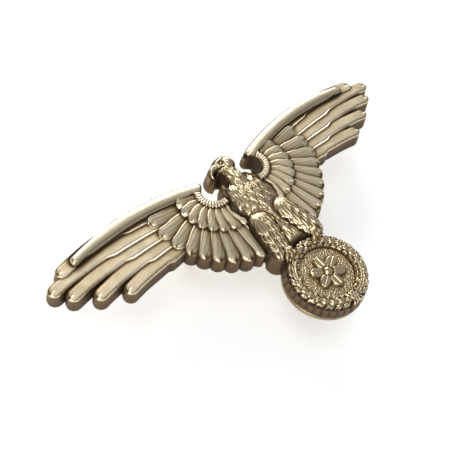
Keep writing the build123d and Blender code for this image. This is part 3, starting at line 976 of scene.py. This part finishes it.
def make_posts():
    """Threaded posts with a soldered head."""
    for side in ("left", "right"):
        node = f"{side}_post"
        low, high = plan_box(node)
        head_r = plan_radius(node)
        rings = [(0.9, low[2])]
        rings += [(min(SHANK_R, 1.1 + (z - low[2])), z) for z in np.arange(low[2], SEAT_Z - 0.35, 0.06)]
        rings += [(1.3, SEAT_Z - 0.3), (1.3, SEAT_Z), (head_r - 0.15, SEAT_Z), (head_r, SEAT_Z + 0.12),
                  (head_r, high[2] - 0.15), (head_r - 0.15, high[2])]
        post = turned(f"{side}_post_threaded", plan_centre(node), rings, 48, thread)
        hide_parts(node)
        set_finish(post, "post_brass")
        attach(post, "badge")


def make_nuts():
    """Thumb nuts with a diamond knurl."""
    for side in ("left", "right"):
        node = f"{side}_nut"
        low, high = plan_box(node)
        outer = plan_radius(node)
        flange = low[2] + BOSS_HEIGHT
        rings = [(BORE_R, high[2]), (BORE_R, low[2] + 0.2), (BORE_R + 0.25, low[2]), (BOSS_R - 0.12, low[2]),
                 (BOSS_R, low[2] + 0.12), (BOSS_R, flange - 0.08), (BOSS_R + 0.1, flange),
                 (outer - 0.25, flange), (outer - 0.05, flange + 0.1)]
        rings += [(outer, z) for z in np.linspace(flange + 0.2, high[2] - 0.2, 26)]
        rings += [(outer - 0.05, high[2] - 0.1), (outer - 0.25, high[2]), (BORE_R + 0.2, high[2])]

        def knurl(angle, radius, z):
            if radius < outer - 0.01:
                return radius
            turn = angle / (2 * math.pi) * KNURLS
            one, two = (turn + z * KNURL_LEAN) % 1.0, (turn - z * KNURL_LEAN) % 1.0
            return radius - KNURL_DEPTH * (max(abs(2 * one - 1), abs(2 * two - 1))) ** 3

        nut = turned(f"{side}_nut_knurled", plan_centre(node), rings, 6 * KNURLS, knurl, closed=True)
        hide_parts(node)
        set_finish(nut, "nut_brass")
        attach(nut, f"{side}_nut_body")


# -------- materials

# Colours from flat ground down into the hollows and walls, brown patina and painted shade, near black at the
# deepest
PATINA_AND_SHADE = [(0.58, (0.50, 0.385, 0.225)), (0.72, (0.18, 0.115, 0.055)), (1.0, (0.035, 0.02, 0.012))]

# Name, colour, tarnish, roughness and scratches per metre
WORKED_METALS = [
    ("strap_brass", (0.62, 0.49, 0.27), (0.33, 0.22, 0.10), 0.38, 3600.0),
    ("post_brass", (0.70, 0.56, 0.30), (0.42, 0.29, 0.13), 0.26, 2600.0),
    ("nut_brass", (0.72, 0.58, 0.32), (0.45, 0.31, 0.14), 0.28, 2600.0),
    ("backing_brass", (0.38, 0.30, 0.18), (0.18, 0.12, 0.06), 0.30, 3600.0),
    ("solder", (0.55, 0.54, 0.52), (0.30, 0.29, 0.27), 0.45, 1800.0),
]


def node_material(name):
    """New material with its node tree and its shader."""
    material = bpy.data.materials.new(name)
    material.use_nodes = True
    tree = material.node_tree
    return material, tree, tree.nodes["Principled BSDF"]


def ramp(tree, source, stops, kind="EASE"):
    """Colour ramp of (position, colour) stops on a value."""
    node = tree.nodes.new("ShaderNodeValToRGB")
    node.color_ramp.interpolation = kind
    elements = node.color_ramp.elements
    while len(elements) < len(stops):
        elements.new(0.5)
    for element, (position, colour) in zip(elements, stops):
        element.position = position
        element.color = (*colour, 1.0) if len(colour) == 3 else (colour[0],) * 3 + (1.0,)
    tree.links.new(source, node.inputs["Fac"])
    return node.outputs["Color"]


def noise(tree, scale, detail=4.0, roughness=0.55):
    """Noise in object space; scale is features per metre."""
    where = tree.nodes.new("ShaderNodeTexCoord")
    node = tree.nodes.new("ShaderNodeTexNoise")
    node.inputs["Scale"].default_value = scale
    node.inputs["Detail"].default_value = detail
    node.inputs["Roughness"].default_value = roughness
    tree.links.new(where.outputs["Object"], node.inputs["Vector"])
    return node.outputs["Fac"]


def mixed(tree, share, first, second, kind="MIX"):
    """Mix of two colours, each a socket or a colour."""
    node = tree.nodes.new("ShaderNodeMix")
    node.data_type = "RGBA"
    node.blend_type = kind
    for socket, value in ((node.inputs[0], share), (node.inputs[6], first), (node.inputs[7], second)):
        if isinstance(value, bpy.types.NodeSocket):
            tree.links.new(value, socket)
        else:
            socket.default_value = value if isinstance(value, float) else (*value, 1.0)
    return node.outputs[2]


def maths(tree, operation, *values):
    """Math node over sockets or numbers."""
    node = tree.nodes.new("ShaderNodeMath")
    node.operation = operation
    for socket, value in zip(node.inputs, values):
        if isinstance(value, bpy.types.NodeSocket):
            tree.links.new(value, socket)
        else:
            socket.default_value = value
    return node.outputs[0]


def centred(tree, source, amount):
    """A noise from 0 to 1, moved to lie about 0 and scaled."""
    return maths(tree, "MULTIPLY", maths(tree, "SUBTRACT", source, 0.5), amount)


def bumped(tree, shader, heights):
    """Adds bump from (height socket, distance in metres) pairs."""
    normal = None
    for height, distance in heights:
        node = tree.nodes.new("ShaderNodeBump")
        node.inputs["Strength"].default_value = 1.0
        node.inputs["Distance"].default_value = distance
        tree.links.new(height, node.inputs["Height"])
        if normal is not None:
            tree.links.new(normal, node.inputs["Normal"])
        normal = node.outputs["Normal"]
    tree.links.new(normal, shader.inputs["Normal"])


def struck_metal(name, gloss, high, level_ground):
    """Champagne plating with brown patina and painted shade in the low places and painted shade on the walls;
    gloss lowers the roughness.
    """
    material, tree, shader = node_material(name)
    cavity = tree.nodes.new("ShaderNodeAttribute")
    cavity.attribute_name = "cavity"
    blotch = noise(tree, 260.0, 5.0)
    fine = noise(tree, 2600.0, 3.0)
    level = maths(tree, "ADD", cavity.outputs["Fac"], centred(tree, blotch, 0.22))
    level = maths(tree, "ADD", level, centred(tree, fine, 0.14))
    level = maths(tree, "MULTIPLY_ADD", level, 0.5, 0.5)
    # base colour lighter on ridges, darker with patina and painted shade in hollows and on walls
    colour = ramp(tree, level, [(0.0, high), (0.44, level_ground), *PATINA_AND_SHADE], "LINEAR")
    tint = ramp(tree, noise(tree, 90.0, 3.0), [(0.3, (0.84, 0.80, 0.70)), (0.7, (1.0, 0.98, 0.94))])
    colour = mixed(tree, 0.5, colour, mixed(tree, 1.0, colour, tint, "MULTIPLY"))
    tree.links.new(colour, shader.inputs["Base Color"])
    stops = [(0.0, (0.28 - gloss,)), (0.5, (0.36 - gloss,)), (0.75, (0.5,)), (1.0, (0.7,))]
    rough = ramp(tree, level, stops, "LINEAR")
    rough = maths(tree, "ADD", rough, centred(tree, noise(tree, 700.0), 0.16))
    tree.links.new(rough, shader.inputs["Roughness"])
    metal = ramp(tree, level, [(0.0, (1.0,)), (0.6, (1.0,)), (0.9, (0.55,)), (1.0, (0.4,))], "LINEAR")
    tree.links.new(metal, shader.inputs["Metallic"])
    bumped(tree, shader, [(noise(tree, 5200.0, 2.0), 0.000008), (noise(tree, 900.0, 3.0), 0.000015)])
    return material


def worked_metal(name, colour, dark, roughness, grain):
    """Rolled or turned brass, or solder, with tarnish and scratches."""
    material, tree, shader = node_material(name)
    tarnish = ramp(tree, noise(tree, 330.0, 6.0, 0.6), [(0.35, (0.0,)), (0.75, (1.0,))])
    tree.links.new(mixed(tree, tarnish, colour, dark), shader.inputs["Base Color"])
    shader.inputs["Metallic"].default_value = 1.0
    rough = maths(tree, "MULTIPLY_ADD", noise(tree, 1100.0, 4.0), 0.25, roughness - 0.12)
    tree.links.new(rough, shader.inputs["Roughness"])
    bumped(tree, shader, [(noise(tree, grain, 3.0), 0.00002), (noise(tree, 500.0, 2.0), 0.00004)])
    return material


def paint_everything():
    """A material for every new piece and every CAD node that is still shown."""
    looks = {
        "struck_metal": struck_metal("struck_polished", 0.14, (0.89, 0.785, 0.56), (0.78, 0.655, 0.435)),
        "struck_satin": struck_metal("struck_satin", 0.0, (0.905, 0.805, 0.605), (0.935, 0.825, 0.615)),
    }
    looks.update((row[0], worked_metal(*row)) for row in WORKED_METALS)
    slots = {part["node"]: part["material_slot"] for part in frame["record"]["subparts"]}
    for node, thing in frame["nodes"].items():
        thing.data.materials.clear()
        thing.data.materials.append(looks["backing_brass" if node == "wreath_backing" else slots[node]])
    for thing in bpy.context.scene.objects:
        name = "struck_satin" if "wing" in thing.name else thing.get("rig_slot")
        if thing.type == "MESH" and name in looks and thing.name not in frame["nodes"]:
            thing.data.materials.clear()
            thing.data.materials.append(looks[name])


# -------- stage

CAMERA_AT = Vector((-69.3, -43.0, 115.5)) * MM
CAMERA_RIGHT = Vector((0.72463, -0.67095, 0.15727))
CAMERA_BACK = Vector((-0.46095, -0.30225, 0.83436))
LENS = 59.9

# Half the floor's side, in metres
FLOOR_HALF = 3.0


def place_camera():
    """Camera high over the lower left, rolled so that the wings rise to the right."""
    back = CAMERA_BACK.normalized()
    right = (CAMERA_RIGHT - back * CAMERA_RIGHT.dot(back)).normalized()
    up = back.cross(right)
    data = bpy.data.cameras.new("camera")
    data.lens = LENS
    data.sensor_width = 36.0
    data.clip_start = 0.005
    camera = linked("camera", data)
    camera.matrix_world = Matrix.Translation(CAMERA_AT) @ Matrix((right, up, back)).transposed().to_4x4()
    bpy.context.scene.camera = camera


def area_light(name, place, size, power):
    """Soft rectangular light aimed at the badge; place and size in millimetres."""
    data = bpy.data.lights.new(name, "AREA")
    data.shape = "RECTANGLE"
    data.size, data.size_y = size[0] * MM, size[1] * MM
    data.energy = power
    light = linked(name, data)
    light.location = Vector(place) * MM
    light.rotation_euler = light.location.to_track_quat("Z", "Y").to_euler()


def make_floor():
    """Pale floor that glows a little, as a light table does."""
    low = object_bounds()[0][2]
    mesh = bpy.data.meshes.new("floor")
    corners = ((-1, -1), (1, -1), (1, 1), (-1, 1))
    mesh.from_pydata([(FLOOR_HALF * x, FLOOR_HALF * y, low) for x, y in corners], [], [(0, 1, 2, 3)])
    floor = linked("floor", mesh)
    material, _, shader = node_material("floor_white")
    for socket, value in (("Base Color", (0.92, 0.92, 0.92, 1)), ("Roughness", 0.9),
                          ("Emission Color", (1, 1, 1, 1)), ("Emission Strength", 0.45)):
        shader.inputs[socket].default_value = value
    mesh.materials.append(material)
    floor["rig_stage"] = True


def make_sky():
    """Grey sky, dark below and lighter overhead, for the metal to reflect."""
    world = bpy.data.worlds.new("sky")
    world.use_nodes = True
    tree = world.node_tree
    where = tree.nodes.new("ShaderNodeTexCoord")
    parts = tree.nodes.new("ShaderNodeSeparateXYZ")
    tree.links.new(where.outputs["Generated"], parts.inputs["Vector"])
    sky = ramp(tree, parts.outputs["Z"], [(0.0, (0.05, 0.045, 0.04)), (0.25, (0.13, 0.125, 0.12)),
                                          (0.6, (0.34, 0.34, 0.34)), (1.0, (0.30, 0.30, 0.30))])
    tree.links.new(sky, tree.nodes["Background"].inputs["Color"])
    bpy.context.scene.world = world


place_camera()
bird = bird_relief()
wing = make_wings(bird)
make_bird(bird, wing)
make_feet()
make_wreath()
make_roundel()
make_posts()
make_nuts()
paint_everything()
make_floor()
make_sky()
area_light("key", (260, 480, 300), (420, 260), 1.9)
area_light("top", (-160, 60, 700), (420, 340), 1.15)
area_light("left", (-470, -160, 190), (300, 240), 0.9)
bpy.context.scene.view_settings.view_transform = "Standard"

{"cad": cad_box, "visual": [list(corner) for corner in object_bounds()]}
